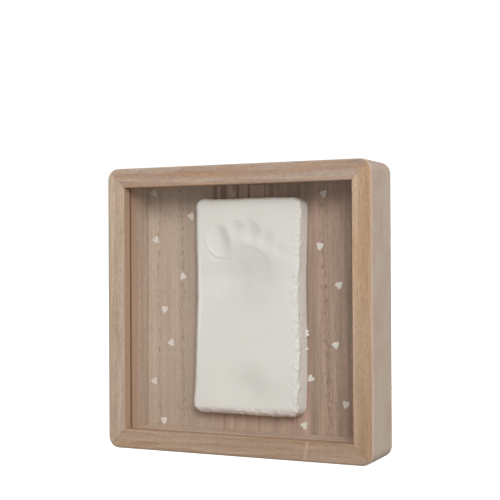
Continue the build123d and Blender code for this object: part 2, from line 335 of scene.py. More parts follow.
def rail_finish(name, look, tones, turn, heart, seed, blush, fade, streak, glue):
    """Planed and sanded hardwood of one rail: greyed outer faces, a browner inner edge and dark mitre lines.

    fade is an axis and the tone at its low and high end. In millimetres, streak is the height of a wavy row of pores,
    and glue the place across and up and the half height of a pale butt joint.
    """
    made, tree, place, drawn, pores, shade = wood(name, look, tones, turn, heart, seed, blush)
    axes = node(tree, "SeparateXYZ", (place,), None).outputs
    low, high = (-FRAME_HALF, FRAME_HALF) if fade[0] == "X" else (0.0, 2 * FRAME_HALF)
    fading = node(tree, "MapRange", (axes[fade[0]], low, high, *fade[1:]))
    shade = node(tree, "Mix", {0: 1.0, 6: shade, 7: fading}, **MULTIPLY)
    if streak:
        wave_height, half_width = 5 * MM, 0.5 * MM
        wavy = node(tree, "Math", (drawn["nap"], wave_height, axes["Z"]), operation="MULTIPLY_ADD")
        row = node(tree, "Math", (wavy, streak * MM + wave_height / 2, half_width), operation="COMPARE")
        broken = node(tree, "MapRange", (drawn["band"], 0.4, 0.6, 0.1, 0.5))
        row = node(tree, "Math", (row, broken), operation="MULTIPLY")
        shade = node(tree, "Mix", {0: row, 6: shade, 7: look.inner}, **MIX)
    # The outer faces lie a corner's radius beyond the core, the frame drawn in by that radius
    aside = node(tree, "VectorMath", (place, (0, 0, FRAME_MIDDLE_Z)), operation="SUBTRACT")
    aside = node(tree, "VectorMath", (aside,), operation="ABSOLUTE")
    core = FRAME_HALF - CORNER_RADIUS
    beyond = node(tree, "VectorMath", (aside, (core, 1, core)), operation="SUBTRACT")
    beyond = node(tree, "VectorMath", (beyond, (0, 0, 0)), operation="MAXIMUM")
    beyond = node(tree, "VectorMath", (beyond,), "Value", operation="LENGTH")
    outer = node(tree, "MapRange", (beyond, CORNER_RADIUS - 0.8 * MM, CORNER_RADIUS - 0.1 * MM, 0, 0.85))
    patches = node(tree, "TexNoise", {"Vector": place, "Scale": 1 / (16 * MM), "Detail": 2.0})
    patches = node(tree, "MapRange", (patches, 0.35, 0.65))
    skin = node(tree, "Mix", {0: patches, 6: look.skin, 7: look.skin_warm}, **MIX)
    brushed = node(tree, "MapRange", (drawn["fibre"], 0.2, 0.8, 1.05, 0.95))
    skin = node(tree, "Mix", {0: 1.0, 6: skin, 7: brushed}, **MULTIPLY)
    shade = node(tree, "Mix", {0: outer, 6: shade, 7: skin}, **MIX)
    off = node(tree, "SeparateXYZ", (aside,), None).outputs
    outward = node(tree, "Math", (off["X"], off["Z"]), operation="MAXIMUM")
    inner = node(tree, "MapRange", (outward, WINDOW_HALF + 0.2 * MM, WINDOW_HALF + 0.5 * MM, 0.7, 0))
    shade = node(tree, "Mix", {0: inner, 6: shade, 7: look.inner}, **MIX)
    if glue:
        across, up, half_height = (size * MM for size in glue)
        lean = -0.2
        leaning = node(tree, "Math", (axes["Z"], lean, axes["X"]), operation="MULTIPLY_ADD")
        off_joint = node(tree, "Math", (leaning, across + lean * up), operation="SUBTRACT")
        off_joint = node(tree, "Math", (off_joint,), operation="ABSOLUTE")
        dash = node(tree, "MapRange", (off_joint, 0.2 * MM, 1.2 * MM, 0.4, 0))
        level = node(tree, "Math", (axes["Z"], up, half_height), operation="COMPARE")
        dash = node(tree, "Math", (dash, level), operation="MULTIPLY")
        shade = node(tree, "Mix", {0: dash, 6: shade, 7: look.glue}, **MIX)
    off_mitre = node(tree, "Math", (off["X"], off["Z"]), operation="SUBTRACT")
    off_mitre = node(tree, "Math", (off_mitre,), operation="ABSOLUTE")
    mitre = node(tree, "MapRange", (off_mitre, 0.3 * look.mitre_line, look.mitre_line, 0.4, 0))
    shade = node(tree, "Mix", {0: mitre, 6: shade, 7: look.pore}, **MIX)
    matt_wood(tree, shade, pores, drawn["fibre"], (0.5, 0.72))
    return made


def liner_finish(name, look, tones, turn, heart, seed, upright):
    """Planed hardwood of a liner. An upright one has a warmer strip along its front and darkens downwards."""
    made, tree, place, drawn, pores, shade = wood(name, look, tones, turn, heart, seed, 0.2)
    if upright:
        axes = node(tree, "SeparateXYZ", (place,), None).outputs
        low_end = node(tree, "MapRange", (axes["Z"], 10 * MM, 90 * MM, 0.94, 1.0))
        shade = node(tree, "Mix", {0: 1.0, 6: shade, 7: low_end}, **MULTIPLY)
        strip = node(tree, "MapRange", (axes["Y"], -0.1 * MM, 0.7 * MM, 0.8, 0))
        shade = node(tree, "Mix", {0: strip, 6: shade, 7: look.liner_front}, **MIX)
    matt_wood(tree, shade, pores, drawn["fibre"], (0.55, 0.75))
    return made


# Edges between the veneer's leaves, and the painted shade just left of the slab: where a change starts and ends, in
# millimetres, and its value before and after
LEAF_EDGES = {
    "pale": (-65.4, -64.2, 1, 0),
    "slab_shade": (-50.8, -44, 1, 0.91),
    "middle": (-29, -24, 0, 1),
    "right": (8, 30, 0, 1),
}
# Rows of pores in the veneer: place at mid height and half width in millimetres, lean as millimetres across for each
# millimetre up, and how crowded the row is
PORE_ROWS = ((-67.2, 2.2, 0.0, 1.0), (-50.7, 3.4, 0.0, 1.0), (44.6, 4.4, -0.045, 1.2))


def veneer(look):
    """Sliced and sanded veneer: upright leaves of differing brown, veins behind the slab, fibres and rows of pores,
    with painted shade beside and below the slab and painted warm bounce light in the veins near its top.
    """
    made, tree, place = blank_material("Sliced paulownia veneer, sanded")
    drawn = streaks(tree, place, {
        "sway": (9 * MM, 60 * MM, 2.0),
        "tone": (2.6 * MM, 200 * MM, 3.0),
        "band": (4.5 * MM, 140 * MM, 2.0),
        "fibre": (look.fibre_width, 1.4 * look.fibre_length, 3.0),
        "nap": (look.nap_width, 1.6 * look.nap_length, 2.0),
        "pore": (0.75 * look.pore_width, 0.8 * look.pore_length, 1.0),
        "row": (2.2 * MM, 150 * MM, 1.0),
    })
    # The noise is a half on average, so it also pushes the edges aside by half its height
    sway_height = 4 * MM
    axes = node(tree, "SeparateXYZ", (place,), None).outputs
    swayed = node(tree, "Math", (drawn["sway"], sway_height, axes["X"]), operation="MULTIPLY_ADD")
    leaf = {
        name: node(tree, "MapRange", (swayed, start * MM, end * MM, before, after))
        for name, (start, end, before, after) in LEAF_EDGES.items()
    }
    middle, right = leaf["middle"], leaf["right"]
    shade = node(tree, "Mix", {0: leaf["pale"], 6: look.veneer_left, 7: look.veneer_pale}, **MIX)
    # Painted shade: the board darkens towards the slab's left side, for the slab's soft shade
    shade = node(tree, "Mix", {0: 1.0, 6: shade, 7: leaf["slab_shade"]}, **MULTIPLY)
    shade = node(tree, "Mix", {0: middle, 6: shade, 7: look.veneer_middle}, **MIX)
    band = node(tree, "MapRange", (drawn["band"], 0.42, 0.62))
    mauve = node(tree, "Mix", {0: band, 6: look.veneer_right, 7: look.veneer_grey}, **MIX)
    shade = node(tree, "Mix", {0: right, 6: shade, 7: mauve}, **MIX)
    # All but the right leaf darken downwards, a painted shadow below the slab, and the middle one is streaked, most of
    # all at its top
    off_right = node(tree, "Math", (1, right), operation="SUBTRACT")
    low_end = node(tree, "MapRange", (axes["Z"], 12 * MM, 60 * MM, 0.9, 1.0))
    shade = node(tree, "Mix", {0: off_right, 6: shade, 7: low_end}, **MULTIPLY)
    behind_slab = node(tree, "Math", (middle, right), operation="SUBTRACT")
    streaked = node(tree, "MapRange", (axes["Z"], 20 * MM, 140 * MM, 0.3, 1.0))
    streaked = node(tree, "Math", (streaked, behind_slab), operation="MULTIPLY")
    deep = node(tree, "MapRange", (drawn["tone"], 0.35, 0.65, 1.24, 0.92))
    shade = node(tree, "Mix", {0: streaked, 6: shade, 7: deep}, **MULTIPLY)
    # The veins grow towards the top, where their red-brown also paints the warm bounced light in the top rail's shadow
    veins = node(tree, "MapRange", (drawn["tone"], 0.5, 0.64, 0, 0.6))
    veins = node(tree, "Math", (veins, streaked), operation="MULTIPLY")
    shade = node(tree, "Mix", {0: veins, 6: shade, 7: look.veneer_vein_and_shade}, **MIX)
    grain = node(tree, "Math", (drawn["fibre"], 0.8, drawn["tone"]), operation="MULTIPLY_ADD")
    grain = node(tree, "Math", (drawn["nap"], 0.5, grain), operation="MULTIPLY_ADD")
    grain = node(tree, "MapRange", (grain, 0.85, 1.45, 1.25, 0.77))
    coarse = node(tree, "MapRange", (right, 0, 1, 0.4, 1.0))
    shade = node(tree, "Mix", {0: coarse, 6: shade, 7: grain}, **MULTIPLY)
    rows = node(tree, "MapRange", (drawn["row"], 0.46, 0.66, 0, 0.3))
    for place_across, half_width, lean, crowding in PORE_ROWS:
        foot = place_across * MM + sway_height / 2 - lean * FRAME_MIDDLE_Z
        centre = node(tree, "Math", (axes["Z"], lean, foot), operation="MULTIPLY_ADD")
        off_row = node(tree, "Math", (swayed, centre), operation="SUBTRACT")
        off_row = node(tree, "Math", (off_row,), operation="ABSOLUTE")
        row = node(tree, "MapRange", (off_row, 0, half_width * MM, crowding, 0))
        rows = node(tree, "Math", (rows, row), operation="MAXIMUM")
    crowded = node(tree, "Math", (rows, 0.16, drawn["pore"]), operation="MULTIPLY_ADD")
    pores = node(tree, "MapRange", (crowded, 0.65, 0.78))
    dark = node(tree, "Math", (pores, 0.62), operation="MULTIPLY")
    shade = node(tree, "Mix", {0: dark, 6: shade, 7: look.veneer_pore}, **MIX)
    matt_wood(tree, shade, pores, drawn["fibre"], (0.62, 0.78))
    return made


class FOOTPRINT_OT_rails(bpy.types.Operator):
    """Planed wood on the four rails, each with the grain along its length and its own tone"""

    bl_idname = "footprint.rails"
    bl_label = "Finish the rails"

    def execute(self, context):
        look = context.scene.footprint_frame.wood
        # Turn, heart, seed, blush, fade, streak and glue, as rail_finish takes them
        rails = {
            "left": (GRAIN_UP, (-52, 60), 0.31, 0.25, ("Z", 0.93, 1.03), None, None),
            "right": (GRAIN_UP, (66, 48), 1.17, 0.6, ("Z", 0.9, 1.1), None, None),
            "top": (GRAIN_ACROSS, (-130, 70), 2.43, 0.6, ("X", 1.05, 0.88), 165, None),
            "bottom": (GRAIN_ACROSS, (30, 62), 3.71, 0.35, ("X", 1.04, 0.88), None, (45, 6.2, 5.0)),
        }
        for side, settings in rails.items():
            tones = getattr(look, f"{side}_light"), getattr(look, f"{side}_dark")
            dress([f"{side}_rail"], rail_finish(f"Planed paulownia, {side}_rail", look, tones, *settings))
        return {"FINISHED"}


class FOOTPRINT_OT_liners(bpy.types.Operator):
    """Planed wood on the liners that hold the pane"""

    bl_idname = "footprint.liners"
    bl_label = "Finish the liners"

    def execute(self, context):
        look = context.scene.footprint_frame.wood
        tones = (look.liner_light, look.liner_dark)
        upright = liner_finish("Planed paulownia, upright liners", look, tones, GRAIN_UP, (20, 55), 5.2, True)
        tones = (look.level_light, look.level_dark)
        level = liner_finish("Planed paulownia, level liners", look, tones, GRAIN_ACROSS, (-60, 55), 6.4, False)
        dress(["left_liner", "right_liner"], upright)
        dress(["top_liner", "bottom_liner"], level)
        return {"FINISHED"}


class FOOTPRINT_OT_board(bpy.types.Operator):
    """Veneer on the backing board"""

    bl_idname = "footprint.board"
    bl_label = "Finish the board"

    def execute(self, context):
        dress(["backing_board"], veneer(context.scene.footprint_frame.wood))
        return {"FINISHED"}


class FOOTPRINT_OT_hearts(bpy.types.Operator):
    """Printing ink on the hearts"""

    bl_idname = "footprint.hearts"
    bl_label = "Finish the hearts"

    def execute(self, context):
        look = context.scene.footprint_frame.parts
        # Screen-printed ink: flat and chalky, thinner where it bridges pores. Painted shade: the heart over the slab
        # is darker and warmer, for the warm shade under the top rail
        made, tree, place = blank_material("Screen-printed ink, off-white")
        film = streaks(tree, place, {"film": (0.7 * MM, 2.5 * MM, 2.0)})["film"]
        thin = node(tree, "MapRange", (film, 0.5, 0.75))
        shade = node(tree, "Mix", {0: thin, 6: look.ink, 7: look.ink_thin}, **MIX)
        shaded_heart, reach = (-15 * MM, 15 * MM, 155 * MM), 10 * MM
        from_shaded_heart = node(tree, "VectorMath", (place, shaded_heart), "Value", operation="DISTANCE")
        wear_and_shade = node(tree, "Math", (from_shaded_heart, reach), operation="LESS_THAN")
        shade = node(tree, "Mix", {0: wear_and_shade, 6: shade, 7: look.ink_shaded}, **MIX)
        shader = node(tree, "BsdfPrincipled", {"Base Color": shade, "Roughness": 0.75, "Specular IOR Level": 0.3})
        node(tree, "OutputMaterial", (shader,), None)
        dress(["painted_hearts"], made)
        return {"FINISHED"}


def ripple(points, wavelength, seed, waves=32):
    """Even roughness without seams: plane waves in seeded directions added up, each about this long, spread 1."""
    draw = np.random.default_rng(seed)
    way = draw.normal(size=(3, waves))
    way *= 2 * pi / wavelength * draw.uniform(0.7, 1.4, waves) / np.linalg.norm(way, axis=0)
    return np.sin(points @ way + draw.uniform(0, 2 * pi, waves)).sum(1) * (2 / waves) ** 0.5


def bell(distance, width):
    """Smooth hump: exp(-(distance / width)**2)."""
    return np.exp(-((distance / width) ** 2))


def ramp(rise, softness):
    """Rounded ramp, 0 well below rise 0 and rise well above it: softness * log(1 + exp(rise / softness))."""
    return softness * np.logaddexp(0, rise / softness)


def drop(distance, softness):
    """Smooth step from 1 down to 0 at distance 0: 1 / (1 + exp(distance / softness))."""
    return 1 / (1 + np.exp(np.clip(distance / softness, -50, 50)))


def oval(x, z, centre, half, turn):
    """Distance from an oval's centre, as a share of its half sizes, and the direction round it, in radians."""
    u, v = x - centre[0], z - centre[1]
    c, s = cos(radians(turn)), sin(radians(turn))
    p, q = (c * u + s * v) / half[0], (c * v - s * u) / half[1]
    return np.hypot(p, q), np.arctan2(q, p)


def hollow(x, z, centre, half, turn, depth, step, power, tail, soft):
    """Pressed hollow: depth * (1 - r**power), rounded at its rim r = 1 and middle, and a step at its upper right rim.

    r is the share of the oval's half sizes, tail how many times as far the hollow reaches to its lower left, and
    soft the rounding of the rim.
    """
    r, way = oval(x, z, centre, half, turn)
    upper_right = np.cos(way + radians(turn - 50))
    r = r / (1 + (tail - 1) * np.clip(-upper_right, 0, 1) ** 2)
    bowl = ramp(1 - np.hypot(r, 0.12) ** power, soft)
    ledge = (1 + np.tanh(1.5 * r * upper_right + 0.3)) / 2
    return depth * bowl + step * ledge * drop(r - 1, 0.04)


def stroke(x, z, start, end, width):
    """Hump along a straight stroke: a bell of the distance to the segment."""
    along = np.subtract(end, start)
    t = np.clip(((x - start[0]) * along[0] + (z - start[1]) * along[1]) / (along @ along), 0, 1)
    return bell(np.hypot(x - start[0] - t * along[0], z - start[1] - t * along[1]), width)


# Hollows of the right foot in the slab's face, in millimetres:
# deepest point (x, z), half sizes, turn, depth, step, power, tail, rim's rounding
TOES = [
    ((-19.0, 124.8), (6.6, 9.6), -4, 0.7, 0.1, 2.4, 1.2, 0.25),
    ((-17.6, 126.0), (5.8, 8.8), 14, 1.4, 0.15, 1.5, 1.4, 0.25),
    ((-7.6, 132.4), (5.6, 5.2), 0, 1.1, 0.2, 1.6, 1.2, 0.16),
    ((2.2, 130.6), (6.2, 6.4), 0, 1.5, 0.2, 1.5, 1.1, 0.16),
    ((11.8, 126.4), (6.2, 6.4), 0, 0.95, 0.05, 1.5, 0.9, 0.2),
    ((21.0, 119.6), (4.8, 5.0), 0, 0.55, 0.0, 1.5, 1.0, 0.3),
]
SOLE = [
    ((-4.0, 105.4), (19.5, 16.5), -8, 4.2, 0.0, 1.15, 2.2, 0.3),
    ((2.6, 113.2), (12.8, 8.0), -28, 0.15, 0.32, 1.3, 1.0, 0.1),
    ((-11.6, 103.8), (12.0, 10.0), -10, 1.5, 0.0, 1.15, 1.8, 0.35),
    ((13.0, 107.4), (9.0, 8.0), -30, 0.35, 0.0, 1.3, 1.5, 0.4),
    ((1.0, 37.8), (16.5, 11.6), -28, 2.1, 0.0, 1.25, 1.1, 0.3),
]
# Ridges between the toes, which are raised, then folds and nicks: depth, start, end and width
FOLDS = [
    (-0.3, (-1.0, 126.4), (0.4, 125.6), 3.0),
    (-0.22, (8.4, 123.4), (9.8, 122.6), 2.8),
    (0.12, (-19.5, 115.0), (-13.0, 114.4), 0.7),
    (0.12, (-4.0, 109.0), (-1.4, 107.0), 0.8),
    (0.2, (7.6, 67.2), (8.8, 66.2), 0.5),
    (0.3, (-19.0, 92.8), (-18.8, 92.6), 0.5),
]


def footprint(x, z):
    """Depth of the foot in the clay: its hollows and folds added up, less the clay pushed up by the big toe."""
    depth = sum(hollow(x, z, *spot) for spot in TOES + SOLE)
    depth = depth + sum(deep * stroke(x, z, start, end, width) for deep, start, end, width in FOLDS)
    # The clay rises towards the lower left of the big toe and breaks off there in a crisp fold
    r, way = oval(x, z, (-18.6, 126.2), (7.4, 9.2), 20)
    lower_left = bell(np.angle(np.exp(1j * (way + radians(20 - 236)))), 0.8)
    rise = np.clip((r - 0.8) / 0.4, 0, 1) ** 1.5 * drop(r - 1.22, 0.012)
    return depth - 0.6 * rise * lower_left


# Crumbs at the back of the slab's right side: place in depth and in height, and size, in millimetres
CRUMBS = ((12.4, 71.6, 1.6), (12.8, 69.6, 1.8), (12.4, 61.2, 1.0))
CRACK_HEIGHT = 67.0
# How torn the slab's left, right, lower and upper edge are
TORN_EDGES = (0.12, 0.5, 0.3, 0.2)


def clay_slab(look):
    """Points and faces of the slab, in millimetres, and how far the foot moves each point and how much painted shade
    it takes.

    The face is a grid of s, t over the flat part, with its corners drawn onto arcs. Rings carried outwards from
    its border follow a quarter circle over the front edge, the side and a small quarter circle at the back, and a
    fan closes the back. Every point then moves so that the outline runs between four wavy edges, along its normal
    by the roughness, and into the slab by the footprint and by the bevel along its lower edge.
    """
    low, high = (np.array(corner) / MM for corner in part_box("clay_print"))
    half = np.array([34.5, 64.4])   # before the outline is bent
    edge, corner, back = look.edge_radius / MM, look.corner_radius / MM, look.back_radius / MM
    flat = half - edge
    core = flat - (corner - edge)   # centres of the rounded corners
    counts = np.ceil(2 * flat / (look.cell / MM)).astype(int) + 1
    x, z = np.meshgrid(np.linspace(-flat[0], flat[0], counts[0]), np.linspace(-flat[1], flat[1], counts[1]))
    face = np.stack([x, z], -1)
    hub = np.clip(face, -core, core)
    out = face - hub
    reach = np.linalg.norm(out, axis=-1, keepdims=True)
    face = hub + out * np.abs(out).max(-1, keepdims=True) / np.maximum(reach, 1e-9)

    index = np.arange(counts[0] * counts[1]).reshape(counts[1], counts[0])
    border = np.concatenate([index[0, :-1], index[:-1, -1], index[-1, :0:-1], index[:0:-1, 0]])
    rim = face.reshape(-1, 2)[border]
    outward = rim - np.clip(rim, -core, core)
    outward /= np.linalg.norm(outward, axis=1, keepdims=True)

    # Profile over the edge: a quarter circle, squarer at the top and squarest at the right
    depth = high[1] - low[1]
    square = 2 / (2 + 1.2 * np.clip(outward[:, 1], 0, 1) + 2.0 * np.clip(outward[:, 0], 0, 1))
    roll = np.linspace(0, pi / 2, 11)[1:, None]
    fall = np.linspace(edge, depth - back, 16)[1:, None] + 0 * square
    turn_in = np.linspace(0, pi / 2, 5)[1:, None] + 0 * square
    offsets = np.concatenate([edge * np.sin(roll) ** square, edge + 0 * fall, edge - back * (1 - np.cos(turn_in))])
    depths = np.concatenate([edge * (1 - np.cos(roll) ** square), fall, depth - back * (1 - np.sin(turn_in))])
    lean = np.concatenate([np.sin(roll) + 0 * square, 1 + 0 * fall, np.cos(turn_in)])
    tip = np.concatenate([-np.cos(roll) + 0 * square, 0 * fall, np.sin(turn_in)])
    rings = rim + offsets[:, :, None] * outward
    plan = np.concatenate([face.reshape(-1, 2), rings.reshape(-1, 2), [[0.0, 0.0]]])
    y = np.concatenate([np.zeros(index.size), depths.ravel(), [depth]])
    normal = np.zeros((len(plan), 3))
    normal[:index.size, 1] = -1
    ring_normals = np.concatenate([lean[:, :, None] * outward, tip[:, :, None]], -1).reshape(-1, 3)
    normal[index.size:-1] = ring_normals[:, [0, 2, 1]]
    normal[-1, 1] = 1

    # Four wavy edges, as the slab's outline leans and swells, the right one drawn in towards the front
    s, t = plan[:, 0] / half[0], plan[:, 1] / half[1]
    left = -35.4 + 0.3 * t + 0.9 * bell(t - 0.2, 0.45) - 1.5 * bell(t + 1, 0.35) - 0.5 * bell(t + 0.88, 0.07)
    right = 34.1 + 0.4 * t + 0.45 * np.cos(4.4 * (t + 0.5)) - 0.85 * (1 - t) * (1 - y / depth)
    lower = 21.25 - 0.15 * s - 0.15 * np.sin(5.1 * s + 0.4)
    upper = 150.65 + 0.4 * (1 - s**2) + 0.12 * np.sin(4.3 * s) + 0.5 * bell(s + 0.85, 0.1)
    px = ((1 - s) * left + (1 + s) * right) / 2
    pz = ((1 - t) * lower + (1 + t) * upper) / 2
    wear_and_shade = bell(np.hypot(half[0] * (s + 1), half[1] * (t + 1)), 6.0)    # the lower left corner
    px, pz = px + 0.2 * wear_and_shade, pz + 0.2 * wear_and_shade
    points = np.stack([px, low[1] + y, pz], 1)

    # Torn flakes along the edges, hand-smoothed waves on the face, and a crack and crumbs at the right side
    room = np.stack([half[0] + plan[:, 0], half[0] - plan[:, 0], half[1] + plan[:, 1], half[1] - plan[:, 1]], 1)
    torn_and_lit = (bell(np.maximum(room - edge, 0), 1.4) * TORN_EDGES).max(1)
    torn_and_lit = torn_and_lit * np.where(y > 0, bell(y - 1.0, 2.2) + 0.15, 0.6) * (1 - 0.8 * wear_and_shade)
    flakes = np.tanh(2.5 * ripple(points * (1, 1.2, 0.6), 4.6, 11)) + 0.5 * ripple(points * (1, 0.7, 1), 2.4, 12)
    waves = ripple(points, 34.0, 13) * 2.4 + ripple(points, 9.0, 14)
    rough = look.face_roughness / MM * waves - torn_and_lit * look.edge_roughness / MM * flakes
    right_side = np.clip(normal[:, 0], 0, 1)
    crack = bell(points[:, 2] - CRACK_HEIGHT - 0.5 * np.sin(points[:, 1]), 0.32) * right_side
    rough = rough - crack * bell(points[:, 1] - 7.0, 5.0)
    for back_place, up, tall in CRUMBS:
        rough = rough + tall * bell(np.hypot(points[:, 1] - back_place, points[:, 2] - up), 0.8) * right_side
    rough[np.abs(y - depth) < 1e-6] = 0     # the back stays flat

    # The bevel along the lower edge runs out at the left
    below = look.bevel_height / MM + 0.4 * s + lower - points[:, 2]
    bevel = ramp(below + 0.3 * ripple(points, 6.0, 15), 0.5) * look.bevel_slope * (1 - y / depth)
    bevel = bevel * (1 - 0.8 * bell(s + 1, 0.13))
    # Painted shade: the lower bevel and the upward-facing top edge take a darker, warmer colour for their shade and
    # the warm light bounced onto them
    dull_and_shade = np.maximum(bevel / 0.5, (normal[:, 2] - 0.3) / 0.4)
    pressed = np.where(y == 0, footprint(points[:, 0], points[:, 2]), 0)
    points += normal * rough[:, None]
    points[:, 1] += pressed + bevel
    points[:, 1] = np.minimum(points[:, 1], high[1])

    cells = np.stack([index[:-1, :-1], index[:-1, 1:], index[1:, 1:], index[1:, :-1]], -1).reshape(-1, 4)
    loops = np.concatenate([border[None], index.size + np.arange(len(rings) * len(border)).reshape(len(rings), -1)])
    faces = sum((part.tolist() for part in (cells, bands(loops), fan(loops[-1], len(points) - 1))), [])
    return points, faces, pressed, dull_and_shade


def clay_finish(look):
    """Air-dried white clay, smoothed by hand: matt, slightly see-in, finely grained, greyer where it was packed, a
    grey that also paints the shade in the footprint's hollows.
    """
    made, tree, place = blank_material("Air-dried clay, pressed by hand")
    grit = node(tree, "TexNoise", {"Vector": place, "Scale": 1 / (0.9 * MM), "Detail": 3.0, "Roughness": 0.6})
    cloud = node(tree, "TexNoise", {"Vector": place, "Scale": 1 / (22 * MM), "Detail": 2.0})
    packed = node(tree, "Attribute", (), "Fac", attribute_name="pressed")
    torn_and_lit = node(tree, "Attribute", (), "Fac", attribute_name="torn_and_lit")
    painted_edge_shade = node(tree, "Attribute", (), "Fac", attribute_name="painted_edge_shade")
    # Greyer by the hollows' depth: packed clay, and also painted shade in the hollows
    shade = node(tree, "Mix", {0: packed, 6: look.clay, 7: look.pressed}, **MIX)
    # Painted light: lighter clay on the torn sides, for the light that reaches them
    shade = node(tree, "Mix", {0: torn_and_lit, 6: shade, 7: look.side}, **MIX)
    # Painted shade: darker, warmer clay on the lower bevel and the top edge
    shade = node(tree, "Mix", {0: painted_edge_shade, 6: shade, 7: look.dull_and_shade}, **MIX)
    cloud = node(tree, "MapRange", (cloud, 0.3, 0.7, 0.975, 1.0))
    shade = node(tree, "Mix", {0: 1.0, 6: shade, 7: cloud}, **MULTIPLY)
    relief = node(tree, "Bump", {"Height": grit, "Strength": 0.2, "Distance": 0.12 * MM})
    shader = node(tree, "BsdfPrincipled", {
        "Base Color": shade, "Roughness": 0.85, "Normal": relief, "Specular IOR Level": 0.2,
        "Subsurface Weight": 0.12, "Subsurface Radius": (1.0, 0.85, 0.7), "Subsurface Scale": 1.2 * MM,
    })
    node(tree, "OutputMaterial", (shader,), None)
    return made


class FOOTPRINT_OT_clay(bpy.types.Operator):
    """Hand-pressed clay slab with the footprint, in place of the plain solid"""

    bl_idname = "footprint.clay"
    bl_label = "Make the clay slab"

    def execute(self, context):
        look = context.scene.footprint_frame.clay
        points, faces, pressed, dull_and_shade = clay_slab(look)
        slab = new_piece("clay_slab", points, faces, clay_finish(look), "clay_print")
        # The sides are torn from a little behind the face, and the crumbs that stand out at the right are not. Painted
        # light: the torn sides take a lighter clay colour, for the light that reaches them
        behind = (points[:, 1] - points[:, 1].min()) * (pressed == 0)
        crumbs_from = 36.0
        tones = {
            "pressed": np.clip(pressed / 1.2, 0, 1),
            "painted_edge_shade": np.clip(dull_and_shade, 0, 1),
            "torn_and_lit": np.clip((behind - 1.6) / 2.4, 0, 1) * np.clip((crumbs_from - points[:, 0]) / 0.8, 0, 1),
        }
        for name, values in tones.items():
            layer = slab.data.attributes.new(name, "FLOAT", "POINT")
            layer.data.foreach_set("value", values.astype(np.float32))
        return {"FINISHED"}


class FOOTPRINT_OT_pane(bpy.types.Operator):
    """Clear pane that mirrors a little and lets the light through"""

    bl_idname = "footprint.pane"
    bl_label = "Finish the pane"

    def execute(self, context):
        look = context.scene.footprint_frame.parts
        # Cast acrylic with an anti-glare coat: quite clear, with a faint sheen that grows at low angles
        made, tree, place = blank_material("Cast acrylic, anti-glare coat, painted slot shadow")
        facing = node(tree, "LayerWeight", {"Blend": 0.5}, "Facing")
        mirror = node(tree, "Math", (facing, 5.0), operation="POWER")
        mirror = node(tree, "MapRange", (mirror, 0, 1, 0.012, 1.0))
        clear = node(tree, "BsdfTransparent", {"Color": linear("#fdfdfd")})
        sheen = node(tree, "BsdfGlossy", {"Color": linear("#ffffff"), "Roughness": 0.03})
        sheet = node(tree, "MixShader", (mirror, clear, sheen))
        # Painted shadow: a dark band on the pane's upright edges, behind the lip, stands in for the shade in the slot
        # beside the pane
        aside = node(tree, "Math", (node(tree, "SeparateXYZ", (place,), "X"),), operation="ABSOLUTE")
        slot_shadow_band = node(tree, "Math", (aside, WINDOW_HALF + 0.15 * MM), operation="GREATER_THAN")
        edge = node(tree, "BsdfDiffuse", {"Color": look.painted_slot_shadow})
        node(tree, "OutputMaterial", (node(tree, "MixShader", (slot_shadow_band, sheet, edge)),), None)
        dress(["front_pane"], made)
        return {"FINISHED"}


class FOOTPRINT_OT_pads(bpy.types.Operator):
    """Foam tape between the slab and the board"""

    bl_idname = "footprint.pads"
    bl_label = "Finish the foam pads"

    def execute(self, context):
        look = context.scene.footprint_frame.parts
        # Closed-cell foam tape: white and soft, with fine round cells
        made, tree, place = blank_material("Closed-cell foam tape, cut")
        cells = node(tree, "TexVoronoi", {"Vector": place, "Scale": 1 / (0.5 * MM)}, "Distance")
        relief = node(tree, "Bump", {"Height": cells, "Strength": 0.5, "Distance": 0.15 * MM})
        dim = node(tree, "MapRange", (cells, 0, 0.7, 0.88, 1.0))
        shade = node(tree, "Mix", {0: 1.0, 6: look.foam, 7: dim}, **MULTIPLY)
        shader = node(tree, "BsdfPrincipled", {"Base Color": shade, "Roughness": 0.9, "Normal": relief})
        node(tree, "OutputMaterial", (shader,), None)
        dress(["adhesive_pads"], made)
        return {"FINISHED"}


def zinc_steel(name, look, brushed):
    """Zinc-plated steel: grey metal with small soft crystals and fine scratches.

    brushed gives the scratches' size along X, Y and Z in millimetres, the thin ones drawn coarse enough to show.
    """
    made, tree, place = blank_material(name)
    crystals = node(tree, "TexVoronoi", {"Vector": place, "Scale": 1 / (1.6 * MM)}, "Color")
    spangle = node(tree, "SeparateColor", (crystals,))
    squeezed = node(tree, "Mapping", {"Vector": place, "Scale": tuple(1 / (size * MM) for size in brushed)})
    scratches = node(tree, "TexNoise", {"Vector": squeezed, "Scale": 1.0, "Detail": 3.0})
    dull_and_shade = node(tree, "Math", (spangle, scratches), operation="MULTIPLY")
    shade = node(tree, "Mix", {0: dull_and_shade, 6: look.zinc, 7: look.zinc_dark}, **MIX)
    roughness = node(tree, "MapRange", (scratches, 0, 1, 0.28, 0.5))
    relief = node(tree, "Bump", {"Height": scratches, "Strength": 0.15, "Distance": 0.03 * MM})
    shader = node(tree, "BsdfPrincipled", {
        "Base Color": shade, "Metallic": 1.0, "Roughness": roughness, "Normal": relief,
    })
    node(tree, "OutputMaterial", (shader,), None)
    return made


